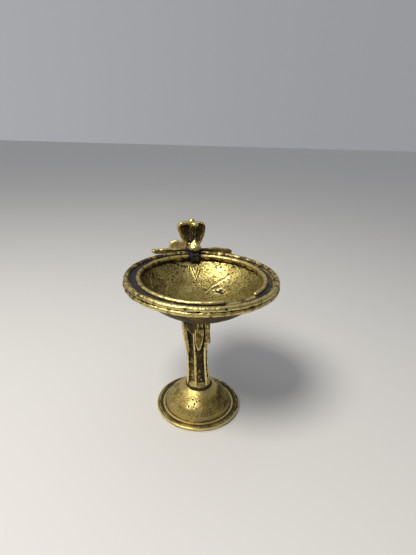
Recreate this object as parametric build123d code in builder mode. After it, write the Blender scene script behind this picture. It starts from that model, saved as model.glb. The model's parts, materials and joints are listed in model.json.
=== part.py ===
from build123d import *
import math
import os

# A small brass oil lamp: a domed foot, a leaning six-sided stem, a shallow bowl with a
# double rim, and a cobra hood rising from the back of the rim above two side arms.
# Millimetres. +Z is up, the hood stands on +Y, and the origin is the centre of the foot
# on the surface that the lamp stands on.

# Foot
foot_radius = 24.8
foot_hollow_radius = 16.9
foot_plate_thickness = 1.5
edge_wire_radius = 0.8
edge_wire_height = 1.6
step_wire_radius = 0.95
step_wire_height = 1.9
dome_radius = 18.9
dome_height = 13.1
dome_wall = 2.0
collar_radius = 8.1
collar_top = 16.0
collar_skirt = 12.9
collar_rounding = 1.2

# Stem: circumscribed radius of its six corners and the place of its axis, bottom to top
stem_bottom = collar_top
stem_middle = 38.0
stem_top = 62.0
stem_heights = (stem_bottom, stem_middle, stem_top)
stem_radii = (6.3, 5.6, 7.2)
stem_centres = ((-0.3, 0.0), (-1.5, 0.2), (-2.8, 0.5))
stem_sides = 6
stem_first_corner = -110.0
stem_hollowing = 0.7
ridge_wire_radii = (0.75, 0.7, 0.85)
foot_tenon_radius = 4.0
peened_head_radius = 5.6
peened_head_bottom = 10.2

# Bowl
bowl_outer_radius = 43.4
bowl_wall = 2.0
bowl_centre_height = 103.7
bowl_edge_height = 81.0
bowl_peg_radius = 2.6
bowl_peg_bottom = 50.0
bowl_peg_centre = (-2.4, 0.4)

# Rim
channel_inner_radius = 32.9
channel_outer_radius = 39.8
channel_top = 82.0
lip_ring_radius = 39.8
lip_ring_height = 82.9
lip_wire_radius = 1.3
band_ring_radius = 40.15
band_ring_height = 80.7
band_wire_radius = 1.25
inner_ring_radius = 33.7
inner_ring_height = 82.9
inner_wire_radius = 1.15
inner_ring_start = -50.0
inner_ring_sweep = 330.0

# Chevrons inside the back of the bowl
chevron_wire_radius = 0.6
outer_chevron = ((-2.4, 76.6), (0.2, 70.8), (3.3, 76.1))
inner_chevron = ((-0.8, 76.4), (0.4, 73.5), (1.7, 76.2))

# Leaves that hang under the bowl: bearing from the front, width, length, height of the tip,
# distance of the tip's inner face from the stem's axis, outward slope in degrees, thickness
calyx_leaves = {
    "calyx_leaf_left": (-88.0, 5.4, 32.0, 30.0, 4.9, 5.2, 2.2),
    "calyx_leaf_front_left": (-26.0, 7.2, 10.5, 51.0, 5.4, 7.0, 1.7),
    "calyx_leaf_front": (-1.0, 4.8, 17.0, 39.0, 5.7, 2.0, 1.7),
    "calyx_leaf_right": (72.0, 4.6, 16.0, 46.0, 5.4, 0.0, 1.9),
    "calyx_leaf_back_right": (132.0, 5.6, 13.0, 49.0, 5.3, 3.0, 1.8),
    "calyx_leaf_back_left": (-148.0, 5.6, 15.0, 47.0, 5.3, 5.0, 1.8),
}
# Shares of a leaf's width and length that set its outline
leaf_bulge_share = 0.46
leaf_bulge_height_share = 0.42
leaf_top_share = 0.36
rod_radius = 1.6
rod_top_point = (2.0, -6.6, 61.5)
rod_tip_point = (3.4, -6.9, 45.7)

# Side arms behind the rim
arm_length = 25.6
arm_depth = 42.9
arm_low_height = 82.7
arm_high_height = 84.1
arm_wire_radius = 1.0
arm_knob_radius = 1.5
arm_knob_half_depth = 1.7
arm_knob_overlap = 2.2
arm_knob_height = 83.6

# Cobra hood
hood_bulge_centre = (0.0, 20.5, 94.0)
hood_bulge_radius = 21.6
hood_wall = 1.6
hood_rim_width = 1.2
hood_rim_extra = 0.5
hood_back_depth = 45.0
hood_cut_depth = 14.0
# Its outline seen from the front: half width, shift to the side, height
hood_points = {
    "foot": (3.2, 0.0, 87.4),
    "flank": (6.9, -0.6, 93.0),
    "shoulder": (8.6, -1.3, 99.7),
    "corner": (7.5, -1.3, 102.2),
    "lobe": (4.8, -1.3, 103.1),
    "dip": (2.2, -1.2, 102.9),
    "notch": (0.0, -1.0, 101.9),
}
hood_arcs = (("foot", "flank", "shoulder"), ("shoulder", "corner", "lobe"), ("lobe", "dip", "notch"))
throat_wire_radius = 1.1
throat_points = ((0.0, 39.3, 89.0), (-0.4, 40.0, 95.0), (-0.3, 38.8, 101.0))
head_centre = (0.5, 37.9, 101.9)
head_length_radius = 2.5
head_side_radius = 1.45
crest_centre = (-1.1, 39.6, 103.6)
crest_radius = 1.55
crest_turn = (90, 0, 0)
neck_sections = (
    (79.8, (0.5, 42.8), 4.2, 1.9),
    (84.4, (0.5, 41.2), 5.2, 3.3),
    (89.6, (-0.1, 40.3), 3.5, 1.7),
)

# Bud and the tongue that carries it over the rim
tongue_width = 6.6
tongue_front = 31.4
tongue_back = 39.4
tongue_bottom = 81.5
tongue_hook_depth = 2.0
tongue_hook_bottom = 80.3
tongue_top = 85.1
tongue_rounding = 0.9
bud_centre = (0.4, 35.2)
bud_bottom = 84.6
bud_widest = 88.1
bud_tip = 93.9
bud_radius = 3.75
bud_foot_tangent = (1, 0.25)
bud_tip_tangent = (-0.35, 1)

# Tail and the leaf at its end
tail_points = ((0.3, 42.5, 81.2), (0.3, 50.0, 78.6), (-4.0, 56.0, 75.6), (-8.2, 56.0, 78.4))
tail_bend_radii = (6.0, 2.6)
tail_radius = 1.9
tail_leaf_centre = (-8.2, 56.0, 82.1)
tail_leaf_width = 12.1
tail_leaf_height = 10.0
tail_leaf_thickness = 2.8
tail_leaf_rounding = 1.2


def ring_wire(ring_radius, ring_height, wire_radius):
    """A closed round ring of round wire about the lamp's axis."""
    with BuildPart() as ring:
        with BuildSketch(Plane.XZ):
            with Locations((ring_radius, ring_height)):
                Circle(wire_radius)
        revolve(axis=Axis.Z)
    return ring.part


def corner_point(level, corner):
    """The place of one stem corner at one of the stem's three levels."""
    bearing = math.radians(stem_first_corner + corner * 360.0 / stem_sides)
    centre_x, centre_y = stem_centres[level]
    x = centre_x + stem_radii[level] * math.cos(bearing)
    y = centre_y + stem_radii[level] * math.sin(bearing)
    return (x, y)


def stem_axis(height):
    """The point on the stem's leaning axis at this height."""
    share = (height - stem_bottom) / (stem_top - stem_bottom)
    foot_x, foot_y = stem_centres[0]
    head_x, head_y = stem_centres[-1]
    return Vector(foot_x + share * (head_x - foot_x), foot_y + share * (head_y - foot_y), height)


def on_bowl(x, height):
    """The point on the bowl's inner wall, at the back, with this x and height."""
    inner_radius = bowl_outer_radius - bowl_wall
    drop = height - bowl_centre_height
    return (x, math.sqrt(inner_radius**2 - drop**2 - x**2), height)


def spun_ellipse(centre, direction, length_radius, side_radius):
    """An egg shape about the axis through its centre."""
    profile_plane = Plane(origin=centre, x_dir=direction, z_dir=(1, 0, 0))
    with BuildPart() as egg:
        with BuildSketch(profile_plane):
            Ellipse(length_radius, side_radius)
            with Locations((0, -side_radius)):
                Rectangle(4 * length_radius, 2 * side_radius, mode=Mode.SUBTRACT)
        revolve(axis=Axis(centre, direction))
    return egg.part


def hood_point(name, side):
    """A named point of the hood's outline, on the left side (-1) or the right side (1)."""
    half_width, shift, height = hood_points[name]
    return (side * half_width + shift, height)


def hood_outline(inside):
    """The hood's heart shape: its inside with Mode.REPLACE, its rim with Mode.SUBTRACT."""
    with BuildSketch(Plane.XZ.offset(-hood_back_depth)) as outline:
        with BuildLine():
            for side in (-1, 1):
                for arc in hood_arcs:
                    ThreePointArc(*[hood_point(name, side) for name in arc])
            Line(hood_point("foot", -1), hood_point("foot", 1))
        make_face()
        offset(amount=-hood_rim_width, mode=inside)
    return outline.sketch


os.makedirs("parts", exist_ok=True)

# Foot: wires first, then the plate and the dome that carry them
with BuildPart() as foot_edge_wire:
    add(ring_wire(foot_radius - edge_wire_radius, edge_wire_height, edge_wire_radius))

with BuildPart() as foot_step_ring:
    add(ring_wire(dome_radius + step_wire_radius, step_wire_height, step_wire_radius))

with BuildPart() as foot_plate:
    with BuildSketch():
        Circle(foot_radius - edge_wire_radius / 2)
        Circle(foot_hollow_radius, mode=Mode.SUBTRACT)
    extrude(amount=foot_plate_thickness)
    add(foot_edge_wire.part, mode=Mode.SUBTRACT)
    add(foot_step_ring.part, mode=Mode.SUBTRACT)

with BuildPart() as foot_dome:
    with BuildSketch(Plane.XZ):
        with Locations((0, foot_plate_thickness)):
            Ellipse(dome_radius, dome_height)
            Ellipse(dome_radius - dome_wall, dome_height - dome_wall, mode=Mode.SUBTRACT)
        with Locations((foot_tenon_radius, foot_plate_thickness)):
            Rectangle(dome_radius, dome_height, align=(Align.MIN, Align.MIN), mode=Mode.INTERSECT)
    revolve(axis=Axis.Z)
    add(foot_step_ring.part, mode=Mode.SUBTRACT)

with BuildPart() as foot_collar:
    with BuildSketch(Plane.XZ):
        with Locations((foot_tenon_radius, collar_skirt)):
            collar_size = (collar_radius - foot_tenon_radius, collar_top - collar_skirt)
            Rectangle(*collar_size, align=(Align.MIN, Align.MIN))
    revolve(axis=Axis.Z)
    top_edges = foot_collar.edges().filter_by(GeomType.CIRCLE).group_by(Axis.Z)[-1]
    fillet(top_edges.sort_by(SortBy.LENGTH)[-1], collar_rounding)
    add(foot_dome.part, mode=Mode.SUBTRACT)

# Bowl shell with the peg under it that stands in the stem
with BuildPart() as bowl_shell:
    with BuildSketch(Plane.XZ):
        with Locations((0, bowl_centre_height)):
            Circle(bowl_outer_radius)
            Circle(bowl_outer_radius - bowl_wall, mode=Mode.SUBTRACT)
        with Locations((0, bowl_edge_height)):
            below_edge = (bowl_outer_radius, bowl_outer_radius)
            Rectangle(*below_edge, align=(Align.MIN, Align.MAX), mode=Mode.INTERSECT)
    revolve(axis=Axis.Z)
    with BuildSketch(Plane.XY.offset(bowl_peg_bottom)):
        with Locations(bowl_peg_centre):
            Circle(bowl_peg_radius)
    extrude(amount=bowl_centre_height - bowl_outer_radius + bowl_wall / 2 - bowl_peg_bottom)

# Rim: the lip and the band under it, the C-shaped inner ring and the flat channel between
with BuildPart() as rim_lip:
    add(ring_wire(lip_ring_radius, lip_ring_height, lip_wire_radius))

with BuildPart() as rim_band:
    add(ring_wire(band_ring_radius, band_ring_height, band_wire_radius))
    add(rim_lip.part, mode=Mode.SUBTRACT)

with BuildPart() as inner_ring:
    start = math.radians(inner_ring_start)
    outward = (math.cos(start), math.sin(start), 0)
    with BuildSketch(Plane(origin=(0, 0, 0), x_dir=outward, z_dir=(outward[1], -outward[0], 0))):
        with Locations((inner_ring_radius, inner_ring_height)):
            Circle(inner_wire_radius)
    revolve(axis=Axis.Z, revolution_arc=inner_ring_sweep)

with BuildPart() as rim_channel:
    with BuildSketch(Plane.XY.offset(bowl_edge_height)):
        Circle(channel_outer_radius)
        Circle(channel_inner_radius, mode=Mode.SUBTRACT)
    extrude(amount=channel_top - bowl_edge_height)
    for wire in (rim_lip, rim_band, inner_ring):
        add(wire.part, mode=Mode.SUBTRACT)

# Nested chevrons of wire pressed on the bowl's inner wall
chevrons = {}
for label, (left, tip, right) in (("chevron_outer", outer_chevron), ("chevron_inner", inner_chevron)):
    with BuildPart() as chevron:
        for end in (left, right):
            with BuildLine():
                leg = Line(on_bowl(*tip), on_bowl(*end))
            with BuildSketch(Plane(origin=leg @ 0, z_dir=leg % 0)):
                Circle(chevron_wire_radius)
            sweep(path=leg)
        with Locations(on_bowl(*tip)):
            Sphere(chevron_wire_radius)
        add(bowl_shell.part, mode=Mode.SUBTRACT)
    chevrons[label] = chevron

# Stem: ridge wires along the six corners, then the hollowed core between them
ridges = []
for corner in range(stem_sides):
    with BuildPart() as ridge:
        for level, height in enumerate(stem_heights):
            with BuildSketch(Plane.XY.offset(height)):
                with Locations(corner_point(level, corner)):
                    Circle(ridge_wire_radii[level])
        loft()
        add(bowl_shell.part, mode=Mode.SUBTRACT)
        with Locations((0, 0, bowl_centre_height)):
            Sphere(bowl_outer_radius, mode=Mode.SUBTRACT)
    ridges.append(ridge)

with BuildPart() as stem_core:
    for level, height in enumerate(stem_heights):
        with BuildSketch(Plane.XY.offset(height)):
            with BuildLine():
                for corner in range(stem_sides):
                    SagittaArc(corner_point(level, corner), corner_point(level, corner + 1), stem_hollowing)
            make_face()
    loft()
    with Locations((0, 0, bowl_centre_height)):
        Sphere(bowl_outer_radius, mode=Mode.SUBTRACT)
    with BuildSketch(Plane.XY.offset(peened_head_bottom)):
        Circle(foot_tenon_radius)
    extrude(amount=stem_bottom - peened_head_bottom)
    with BuildSketch(Plane.XY.offset(peened_head_bottom)):
        Circle(peened_head_radius)
    extrude(amount=dome_wall)
    add(foot_dome.part, mode=Mode.SUBTRACT)
    add(bowl_shell.part, mode=Mode.SUBTRACT)
    for ridge in ridges:
        add(ridge.part, mode=Mode.SUBTRACT)

# The cut rod and the leaves that hang round the top of the stem
with BuildPart() as calyx_rod:
    with BuildLine():
        rod_line = Line(rod_top_point, rod_tip_point)
    with BuildSketch(Plane(origin=rod_line @ 0, z_dir=rod_line % 0)):
        Circle(rod_radius)
    sweep(path=rod_line)
    with Locations((0, 0, bowl_centre_height)):
        Sphere(bowl_outer_radius, mode=Mode.SUBTRACT)
    add(stem_core.part, mode=Mode.SUBTRACT)
    for ridge in ridges:
        add(ridge.part, mode=Mode.SUBTRACT)

calyx = {}
for label, (bearing, width, length, tip, distance, slope, thickness) in calyx_leaves.items():
    outward = Vector(0, -1, 0).rotate(Axis.Z, bearing)
    sideways = outward.rotate(Axis.Z, 90)
    leaf_foot = stem_axis(tip) + outward * distance
    leaf_face = outward.rotate(Axis((0, 0, 0), sideways), slope)
    with BuildPart() as leaf:
        with BuildSketch(Plane(origin=leaf_foot, x_dir=sideways, z_dir=leaf_face)):
            with BuildLine():
                for side in (-1, 1):
                    bulge = (side * width * leaf_bulge_share, length * leaf_bulge_height_share)
                    ThreePointArc((0, 0), bulge, (side * width * leaf_top_share, length))
                Line((-width * leaf_top_share, length), (width * leaf_top_share, length))
            make_face()
        extrude(amount=thickness)
        with Locations((0, 0, bowl_centre_height)):
            Sphere(bowl_outer_radius, mode=Mode.SUBTRACT)
        for neighbour in [stem_core, calyx_rod, *ridges, *calyx.values()]:
            add(neighbour.part, mode=Mode.SUBTRACT)
    calyx[label] = leaf

# Side arms: two wires laid one on the other, tangent to the back of the rim
with BuildPart() as arm_left_knob:
    knob_centre = (arm_knob_radius - arm_length, arm_depth, arm_knob_height)
    add(spun_ellipse(knob_centre, (0, 1, 0), arm_knob_half_depth, arm_knob_radius))

arms = {}
for label, reach in (("arm_left", arm_knob_overlap - arm_length), ("arm_right", arm_length)):
    with BuildPart() as arm:
        with BuildSketch(Plane.YZ):
            for height in (arm_low_height, arm_high_height):
                with Locations((arm_depth, height)):
                    Circle(arm_wire_radius)
        extrude(amount=reach)
        for neighbour in (rim_lip, rim_band, arm_left_knob):
            add(neighbour.part, mode=Mode.SUBTRACT)
    arms[label] = arm

# Cobra hood: a cupped heart-shaped plate inside a raised rim
with BuildPart() as hood_shell:
    extrude(hood_outline(Mode.REPLACE), amount=hood_cut_depth, dir=(0, -1, 0))
    with Locations(hood_bulge_centre):
        Sphere(hood_bulge_radius, mode=Mode.INTERSECT)
        Sphere(hood_bulge_radius - hood_wall, mode=Mode.SUBTRACT)

with BuildPart() as hood_rim:
    extrude(hood_outline(Mode.SUBTRACT), amount=hood_cut_depth, dir=(0, -1, 0))
    with Locations(hood_bulge_centre):
        Sphere(hood_bulge_radius + hood_rim_extra, mode=Mode.INTERSECT)
        Sphere(hood_bulge_radius - hood_wall - hood_rim_extra, mode=Mode.SUBTRACT)

with BuildPart() as cobra_head:
    add(spun_ellipse(head_centre, (0, -1, 0), head_length_radius, head_side_radius))
    add(hood_shell.part, mode=Mode.SUBTRACT)
    add(hood_rim.part, mode=Mode.SUBTRACT)

with BuildPart() as hood_throat:
    with BuildLine():
        throat_line = Spline(*throat_points)
    with BuildSketch(Plane(origin=throat_line @ 0, z_dir=throat_line % 0)):
        Circle(throat_wire_radius)
    sweep(path=throat_line)
    for neighbour in (hood_shell, hood_rim, cobra_head):
        add(neighbour.part, mode=Mode.SUBTRACT)

with BuildPart() as crest_knob:
    with Locations(crest_centre):
        Sphere(crest_radius, rotation=crest_turn)
    for neighbour in (hood_shell, hood_rim, cobra_head):
        add(neighbour.part, mode=Mode.SUBTRACT)

# Tongue that crosses the rim in front of the hood, and the bud that stands on it
with BuildPart() as tongue:
    with BuildSketch(Plane.XY.offset(tongue_bottom)):
        with Locations((bud_centre[0], (tongue_front + tongue_back) / 2)):
            Rectangle(tongue_width, tongue_back - tongue_front)
    extrude(amount=tongue_top - tongue_bottom)
    fillet(tongue.edges().group_by(Axis.Z)[-1], tongue_rounding)
    with BuildSketch(Plane.XY.offset(tongue_hook_bottom)):
        with Locations((bud_centre[0], tongue_front)):
            Rectangle(tongue_width, tongue_hook_depth, align=(Align.CENTER, Align.MIN))
    extrude(amount=tongue_bottom - tongue_hook_bottom)
    for neighbour in (bowl_shell, rim_channel, rim_lip, rim_band, inner_ring):
        add(neighbour.part, mode=Mode.SUBTRACT)

with BuildPart() as bud:
    with BuildSketch(Plane.XZ.offset(-bud_centre[1])):
        with BuildLine():
            side_line = Spline(
                (bud_centre[0], bud_bottom),
                (bud_centre[0] + bud_radius, bud_widest),
                (bud_centre[0], bud_tip),
                tangents=(bud_foot_tangent, bud_tip_tangent),
            )
            Line(side_line @ 1, side_line @ 0)
        make_face()
    revolve(axis=Axis((bud_centre[0], bud_centre[1], 0), (0, 0, 1)))
    add(tongue.part, mode=Mode.SUBTRACT)

# Neck: from behind the rim, over the arms, up into the hood
with BuildPart() as hood_neck:
    for height, centre, half_width, half_depth in neck_sections:
        with BuildSketch(Plane.XY.offset(height)):
            with Locations(centre):
                Ellipse(half_width, half_depth)
    loft()
    neck_neighbours = (rim_lip, rim_band, rim_channel, arms["arm_left"], arms["arm_right"])
    hood_neighbours = (hood_shell, hood_rim, hood_throat, tongue, bud)
    for neighbour in neck_neighbours + hood_neighbours:
        add(neighbour.part, mode=Mode.SUBTRACT)

# Tail: leaves the back of the neck, curls to the left and ends in an upright leaf
with BuildPart() as tail_leaf:
    with BuildSketch(Plane.XZ.offset(-tail_leaf_centre[1])):
        with Locations((tail_leaf_centre[0], tail_leaf_centre[2])):
            Ellipse(tail_leaf_width / 2, tail_leaf_height / 2)
    extrude(amount=tail_leaf_thickness / 2, both=True)
    fillet(tail_leaf.edges().filter_by(GeomType.ELLIPSE), tail_leaf_rounding)

with BuildPart() as tail:
    with BuildLine():
        tail_line = FilletPolyline(*tail_points, radius=tail_bend_radii)
    with BuildSketch(Plane(origin=tail_line @ 0, z_dir=tail_line % 0)):
        Circle(tail_radius)
    sweep(path=tail_line)
    for neighbour in (tail_leaf, hood_neck, arms["arm_left"], arms["arm_right"], rim_band):
        add(neighbour.part, mode=Mode.SUBTRACT)

pieces = {
    "foot_plate": foot_plate,
    "foot_edge_wire": foot_edge_wire,
    "foot_step_ring": foot_step_ring,
    "foot_dome": foot_dome,
    "foot_collar": foot_collar,
    "stem_core": stem_core,
    **{f"stem_ridge_{number}": ridge for number, ridge in enumerate(ridges, start=1)},
    **calyx,
    "calyx_rod": calyx_rod,
    "bowl_shell": bowl_shell,
    "rim_channel": rim_channel,
    "rim_lip": rim_lip,
    "rim_band": rim_band,
    "inner_ring": inner_ring,
    **chevrons,
    "tongue": tongue,
    "bud": bud,
    "hood_neck": hood_neck,
    "hood_shell": hood_shell,
    "hood_rim": hood_rim,
    "hood_throat": hood_throat,
    "cobra_head": cobra_head,
    "crest_knob": crest_knob,
    **arms,
    "arm_left_knob": arm_left_knob,
    "tail": tail,
    "tail_leaf": tail_leaf,
}
for label, piece in pieces.items():
    piece.part.label = label
    export_step(piece.part, f"parts/{label}.step")
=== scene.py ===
import json
import math

import bmesh
import bpy
import numpy as np
from mathutils import Matrix, Vector


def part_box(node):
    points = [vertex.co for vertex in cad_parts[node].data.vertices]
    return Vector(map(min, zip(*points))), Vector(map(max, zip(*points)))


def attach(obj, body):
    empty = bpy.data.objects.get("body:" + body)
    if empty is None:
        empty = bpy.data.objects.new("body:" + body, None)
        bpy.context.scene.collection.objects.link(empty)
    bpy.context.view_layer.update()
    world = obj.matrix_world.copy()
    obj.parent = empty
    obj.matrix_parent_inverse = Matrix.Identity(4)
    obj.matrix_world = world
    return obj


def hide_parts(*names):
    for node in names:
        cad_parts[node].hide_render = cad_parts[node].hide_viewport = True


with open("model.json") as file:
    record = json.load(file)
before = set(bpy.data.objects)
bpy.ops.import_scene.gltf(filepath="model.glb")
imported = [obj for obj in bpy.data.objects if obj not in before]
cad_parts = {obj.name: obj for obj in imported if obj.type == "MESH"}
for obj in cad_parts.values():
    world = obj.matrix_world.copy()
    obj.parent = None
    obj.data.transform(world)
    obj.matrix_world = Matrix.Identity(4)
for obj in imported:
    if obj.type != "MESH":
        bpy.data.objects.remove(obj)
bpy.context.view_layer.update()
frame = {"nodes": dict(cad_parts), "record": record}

# A small brass oil lamp cast from wax threads, sheets and lumps. Every cast piece is shaped here in
# full detail where its plain solid stands: the threads are drawn along their lines, the round parts
# are turned from a profile, and the modelled parts are softened and worked over. A casting skin is
# laid on each piece, and the patina is measured from how deep and how worn each place is; faces that
# look down get painted shade, and some pieces carry painted shade and painted highlights as well.
# Metres, with +Z up, the hood on +Y and the origin under the centre of the foot.

MM = 0.001
slot_of = {part["node"]: part["material_slot"] for part in frame["record"]["subparts"]}


# ---------------------------------------------------------------- helpers for node trees

def put(tree, kind, feeds=(), out=0, **settings):
    """Adds a node, feeds its inputs with sockets or plain values and returns one of its outputs."""
    node = tree.nodes.new(kind)
    for key, value in settings.items():
        setattr(node, key, value)
    pairs = feeds.items() if isinstance(feeds, dict) else enumerate(feeds)
    for key, value in pairs:
        if isinstance(value, bpy.types.NodeSocket):
            tree.links.new(value, node.inputs[key])
        elif value is not None:
            node.inputs[key].default_value = value
    return node.outputs[out]


def calc(tree, operation, first, second=None, third=None):
    return put(tree, "ShaderNodeMath", (first, second, third), operation=operation)


def vector_calc(tree, operation, first, second=None, out=0):
    return put(tree, "ShaderNodeVectorMath", (first, second), out=out, operation=operation)


def scaled(tree, vector, factor):
    return put(tree, "ShaderNodeVectorMath", {0: vector, "Scale": factor}, operation="SCALE")


def fade(tree, value, low, high):
    """0 below low, 1 above high and smooth between."""
    return put(tree, "ShaderNodeMapRange", (value, low, high, 0.0, 1.0), interpolation_type="SMOOTHSTEP")


def grain(tree, where, size, detail=2.0, roughness=0.5, out=0):
    """Noise whose lumps are about this size, in metres."""
    feeds = {"Vector": scaled(tree, where, calc(tree, "DIVIDE", 1.0, size)), "Scale": 1.0}
    return put(tree, "ShaderNodeTexNoise", {**feeds, "Detail": detail, "Roughness": roughness}, out=out)


def swing(tree, value):
    """Turns a 0 to 1 value into -1 to 1."""
    return calc(tree, "MULTIPLY_ADD", value, 2.0, -1.0)


# ---------------------------------------------------------------- Geometry Nodes recipes

LENGTH = "NodeSocketFloat"
COUNT = "NodeSocketInt"


def new_recipe(name, inputs):
    """A geometry tree with these named inputs. Returns the tree and the sockets that it is given."""
    tree = bpy.data.node_groups.new(name, "GeometryNodeTree")
    tree.interface.new_socket("Geometry", in_out="INPUT", socket_type="NodeSocketGeometry")
    for label, (kind, value) in inputs.items():
        socket = tree.interface.new_socket(label, in_out="INPUT", socket_type=kind)
        if value is not None:
            socket.default_value = value
    tree.interface.new_socket("Finish", in_out="INPUT", socket_type="NodeSocketMaterial")
    tree.interface.new_socket("Geometry", in_out="OUTPUT", socket_type="NodeSocketGeometry")
    return tree, tree.nodes.new("NodeGroupInput").outputs


def close_recipe(tree, given, shape):
    """Every recipe ends the same way: real geometry, smooth shading and its material."""
    real = put(tree, "GeometryNodeRealizeInstances", (shape,))
    smooth = put(tree, "GeometryNodeSetShadeSmooth", (real,))
    done = put(tree, "GeometryNodeSetMaterial", {"Geometry": smooth, "Material": given["Finish"]})
    tree.links.new(done, tree.nodes.new("NodeGroupOutput").inputs["Geometry"])
    return tree


def stored(tree, shape, name, value):
    """Stores a value for each point under a name that a finish can read."""
    feeds = {"Geometry": shape, "Name": name, "Value": value}
    return put(tree, "GeometryNodeStoreNamedAttribute", feeds, data_type="FLOAT", domain="POINT")


def seeded(tree, given):
    """The position moved by the seed, so that each piece has lumps of its own."""
    place = put(tree, "GeometryNodeInputPosition")
    shift = put(tree, "ShaderNodeCombineXYZ", (given["Seed"], given["Seed"], given["Seed"]))
    return vector_calc(tree, "ADD", place, shift)


def cast_wire_recipe():
    """A wax thread drawn along a line: it wavers, swells, may be beaded and may have round ends."""
    inputs = {
        "Radius": (LENGTH, 1.0 * MM), "Step": (LENGTH, 0.3 * MM), "Steps Around": (COUNT, 24),
        "Waver": (LENGTH, 0.1 * MM), "Waver Size": (LENGTH, 9 * MM),
        "Swell": (LENGTH, 0.08), "Swell Size": (LENGTH, 3 * MM),
        "Bead Height": (LENGTH, 0.0), "Bead Spacing": (LENGTH, 1.4 * MM),
        "Round Ends": (LENGTH, 0.0), "Seed": (LENGTH, 0.0),
    }
    tree, given = new_recipe("cast_wire", inputs)
    feeds = {"Curve": given["Geometry"], "Length": given["Step"]}
    line = put(tree, "GeometryNodeResampleCurve", feeds, mode="LENGTH")
    where = seeded(tree, given)
    drift = grain(tree, where, given["Waver Size"], detail=1.0, out=1)
    drift = scaled(tree, vector_calc(tree, "SUBTRACT", drift, (0.5, 0.5, 0.5)), 2.0)
    drift = scaled(tree, drift, given["Waver"])
    line = put(tree, "GeometryNodeSetPosition", {"Geometry": line, "Offset": drift})
    along = put(tree, "GeometryNodeSplineParameter", out="Length")
    whole = put(tree, "GeometryNodeSplineLength", out="Length")
    swell = swing(tree, grain(tree, where, given["Swell Size"]))
    swell = calc(tree, "MULTIPLY_ADD", swell, given["Swell"], 1.0)
    turns = calc(tree, "MULTIPLY", calc(tree, "DIVIDE", along, given["Bead Spacing"]), 2 * math.pi)
    bead = calc(tree, "MULTIPLY_ADD", calc(tree, "COSINE", turns), given["Bead Height"], 1.0)
    to_end = calc(tree, "MINIMUM", along, calc(tree, "SUBTRACT", whole, along))
    share = calc(tree, "MINIMUM", calc(tree, "DIVIDE", to_end, given["Radius"]), 1.0)
    gap = calc(tree, "SUBTRACT", 1.0, share)
    dome = calc(tree, "SQRT", calc(tree, "SUBTRACT", 1.0, calc(tree, "MULTIPLY", gap, gap)))
    dome = calc(tree, "MAXIMUM", dome, calc(tree, "SUBTRACT", 1.0, given["Round Ends"]))
    thick = calc(tree, "MULTIPLY", given["Radius"], swell)
    thick = calc(tree, "MULTIPLY", thick, calc(tree, "MULTIPLY", bead, dome))
    feeds = {"Resolution": given["Steps Around"], "Radius": 1.0}
    ring = put(tree, "GeometryNodeCurvePrimitiveCircle", feeds)
    feeds = {"Curve": line, "Profile Curve": ring, "Scale": thick, "Fill Caps": True}
    wire = put(tree, "GeometryNodeCurveToMesh", feeds)
    wire = put(tree, "GeometryNodeMergeByDistance", {"Geometry": wire, "Distance": 0.005 * MM})
    return close_recipe(tree, given, wire)


def turned_recipe():
    """A profile of (radius, height) points turned about the lamp's axis into a closed wall."""
    inputs = {"Steps Around": (COUNT, 480), "Step": (LENGTH, 0.3 * MM)}
    tree, given = new_recipe("turned", inputs)
    length = put(tree, "GeometryNodeCurveLength", (given["Geometry"],))
    rows = calc(tree, "CEIL", calc(tree, "DIVIDE", length, given["Step"]))
    columns = calc(tree, "ADD", given["Steps Around"], 1.0)
    feeds = {"Size X": 1.0, "Size Y": 1.0, "Vertices X": columns, "Vertices Y": rows}
    grid = put(tree, "GeometryNodeMeshGrid", feeds)
    x = put(tree, "ShaderNodeSeparateXYZ", (put(tree, "GeometryNodeInputPosition"),))
    y = x.node.outputs[1]
    feeds = {"Curves": given["Geometry"], "Factor": calc(tree, "ADD", y, 0.5)}
    on_profile = put(tree, "GeometryNodeSampleCurve", feeds, out="Position", mode="FACTOR",
                     use_all_curves=True)
    angle = calc(tree, "MULTIPLY", calc(tree, "ADD", x, 0.5), 2 * math.pi)
    feeds = {"Vector": on_profile, "Axis": (0.0, 0.0, 1.0), "Angle": angle}
    turned = put(tree, "ShaderNodeVectorRotate", feeds, rotation_type="AXIS_ANGLE")
    wall = put(tree, "GeometryNodeSetPosition", {"Geometry": grid, "Position": turned})
    wall = put(tree, "GeometryNodeMergeByDistance", {"Geometry": wall, "Distance": 0.005 * MM})
    return close_recipe(tree, given, wall)


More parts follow.
